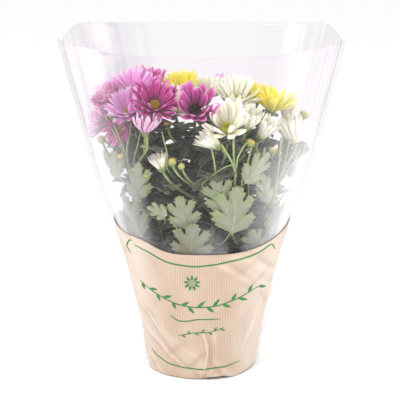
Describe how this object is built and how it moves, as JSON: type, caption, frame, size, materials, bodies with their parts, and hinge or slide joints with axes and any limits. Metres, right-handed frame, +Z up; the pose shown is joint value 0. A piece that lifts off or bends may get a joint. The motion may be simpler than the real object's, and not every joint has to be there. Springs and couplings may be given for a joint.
{
  "type": "pot chrysanthemum",
  "caption": "Potted chrysanthemum in mixed colours: leafy stems with daisy blooms and buds in a nursery pot, wrapped in a clear flared sleeve with a kraft paper foot.",
  "frame": {"origin": "middle of the pot's base, on the surface that it stands on", "axes": "+Z up, +X along the sleeve's wide side to the right, front towards -Y"},
  "size_m": [0.2634, 0.164, 0.3171],
  "materials": {
    "pot_plastic": "matte",
    "peat": "matte",
    "clear_film": "gloss",
    "kraft_paper": "matte",
    "foliage": "matte",
    "petals_magenta": "matte",
    "petals_deep_magenta": "matte",
    "petals_pink": "matte",
    "petals_pale_pink": "matte",
    "petals_cream": "matte",
    "petals_white": "matte",
    "petals_yellow": "matte",
    "disc_yellow": "matte",
    "disc_dark": "matte"
  },
  "bodies": {
    "root": {"pot": "pot_plastic", "soil": "peat", "sleeve_film": "clear_film", "kraft_front": "kraft_paper", "kraft_back": "kraft_paper", "petals_magenta_1": "petals_magenta", "disc_magenta_1": "disc_yellow", "petals_pink_1": "petals_pink", "disc_pink_1": "disc_yellow", "petals_pink_2": "petals_pink", "disc_pink_2": "disc_yellow", "petals_pale_pink_1": "petals_pale_pink", "disc_pale_pink_1": "disc_yellow", "petals_magenta_2": "petals_magenta", "disc_magenta_2": "disc_yellow", "petals_pale_pink_2": "petals_pale_pink", "disc_pale_pink_2": "disc_yellow", "petals_magenta_3": "petals_magenta", "disc_magenta_3": "disc_yellow", "petals_pink_3": "petals_pink", "disc_pink_3": "disc_yellow", "petals_magenta_4": "petals_magenta", "disc_magenta_4": "disc_yellow", "petals_deep_magenta_1": "petals_deep_magenta", "disc_deep_magenta_1": "disc_dark", "petals_cream_1": "petals_cream", "disc_cream_1": "disc_yellow", "petals_pink_5": "petals_pink", "petals_yellow_1": "petals_yellow", "disc_yellow_1": "disc_yellow", "petals_yellow_2": "petals_yellow", "disc_yellow_2": "disc_yellow", "petals_yellow_3": "petals_yellow", "disc_yellow_3": "disc_yellow", "petals_cream_2": "petals_cream", "disc_cream_2": "disc_yellow", "petals_white_1": "petals_white", "disc_white_1": "disc_yellow", "petals_white_2": "petals_white", "disc_white_2": "disc_yellow", "petals_white_3": "petals_white", "disc_white_3": "disc_yellow", "petals_white_4": "petals_white", "petals_white_5": "petals_white", "petals_white_6": "petals_white", "petals_white_7": "petals_white", "petals_white_8": "petals_cream", "petals_pink_6": "petals_pink", "disc_pink_6": "disc_yellow", "petals_yellow_4": "petals_yellow", "disc_yellow_4": "disc_yellow", "stem_magenta_front": "foliage", "stem_pink_back": "foliage", "stem_white_front": "foliage", "stem_magenta_centre": "foliage", "stem_white_right": "foliage", "stem_yellow_back": "foliage"}
  },
  "joints": []
}
